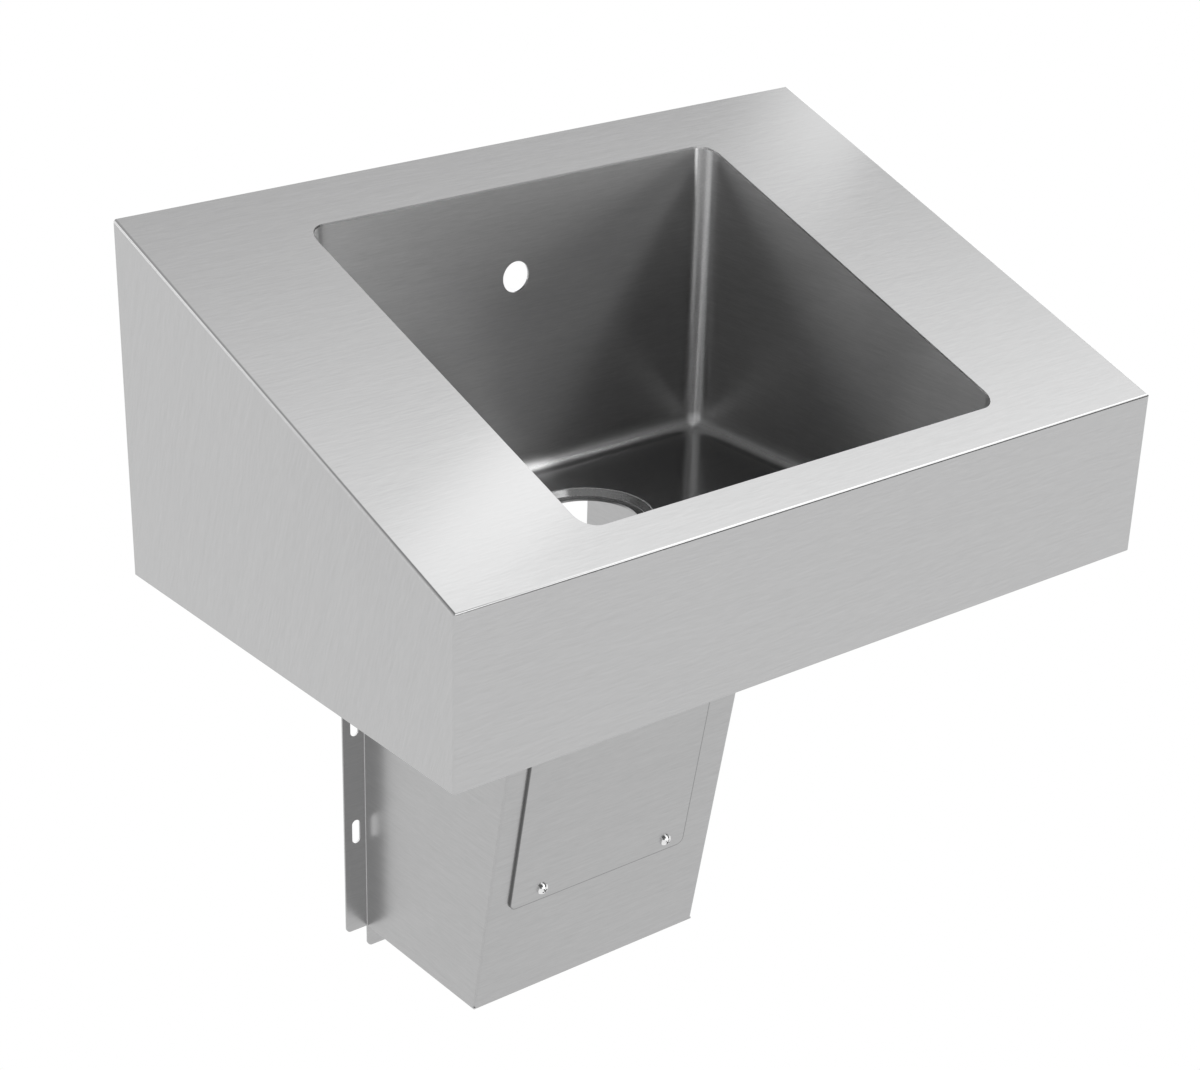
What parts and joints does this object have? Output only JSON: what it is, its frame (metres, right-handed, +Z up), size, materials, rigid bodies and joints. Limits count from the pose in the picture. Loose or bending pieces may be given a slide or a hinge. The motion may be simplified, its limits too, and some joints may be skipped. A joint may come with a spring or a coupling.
{
  "type": "wall-mounted hand sink",
  "caption": "Wall-hung stainless hand sink with a deck sloping down to the front, a rounded rectangular bowl and a boxed trap cover with a removable access panel.",
  "frame": {"origin": "on the wall, at the middle of the wall rail's back face, in the middle of the sink's width", "axes": "+X to the right seen from the front, +Y into the wall, -Y towards the user, +Z up"},
  "size_m": [0.6, 0.381, 0.6424],
  "materials": {
    "brushed_sheet": "fine straight brush grain, satin",
    "bowl_sheet": "fine straight brush grain, satin, smooth in the pressed corners",
    "screw_steel": "bright bare stainless",
    "nut_steel": "bare, machined"
  },
  "bodies": {
    "sink": {"body_shell": "brushed_sheet", "bowl": "bowl_sheet", "body_hook": "brushed_sheet", "wall_rail": "brushed_sheet", "trap_cover": "brushed_sheet", "cover_base": "brushed_sheet", "cover_cleat_left": "brushed_sheet", "cover_cleat_right": "brushed_sheet", "cover_cleat_front": "brushed_sheet", "panel_weld_nuts": "nut_steel"},
    "access_panel": {"access_panel": "brushed_sheet"},
    "panel_screw_lower_left": {"panel_screw_lower_left": "screw_steel"},
    "panel_screw_lower_right": {"panel_screw_lower_right": "screw_steel"},
    "panel_screw_upper_left": {"panel_screw_upper_left": "screw_steel"},
    "panel_screw_upper_right": {"panel_screw_upper_right": "screw_steel"}
  },
  "joints": [
    {"name": "access_panel_lift", "type": "slide", "parent": "sink", "child": "access_panel", "axis": [0, -0.9856, -0.1693], "range_m": [0, 0.06]},
    {"name": "panel_screw_lower_left_draw", "type": "slide", "parent": "access_panel", "child": "panel_screw_lower_left", "axis": [0, -0.9856, -0.1693], "range_m": [0, 0.012]},
    {"name": "panel_screw_lower_right_draw", "type": "slide", "parent": "access_panel", "child": "panel_screw_lower_right", "axis": [0, -0.9856, -0.1693], "range_m": [0, 0.012]},
    {"name": "panel_screw_upper_left_draw", "type": "slide", "parent": "access_panel", "child": "panel_screw_upper_left", "axis": [0, -0.9856, -0.1693], "range_m": [0, 0.012]},
    {"name": "panel_screw_upper_right_draw", "type": "slide", "parent": "access_panel", "child": "panel_screw_upper_right", "axis": [0, -0.9856, -0.1693], "range_m": [0, 0.012]}
  ]
}
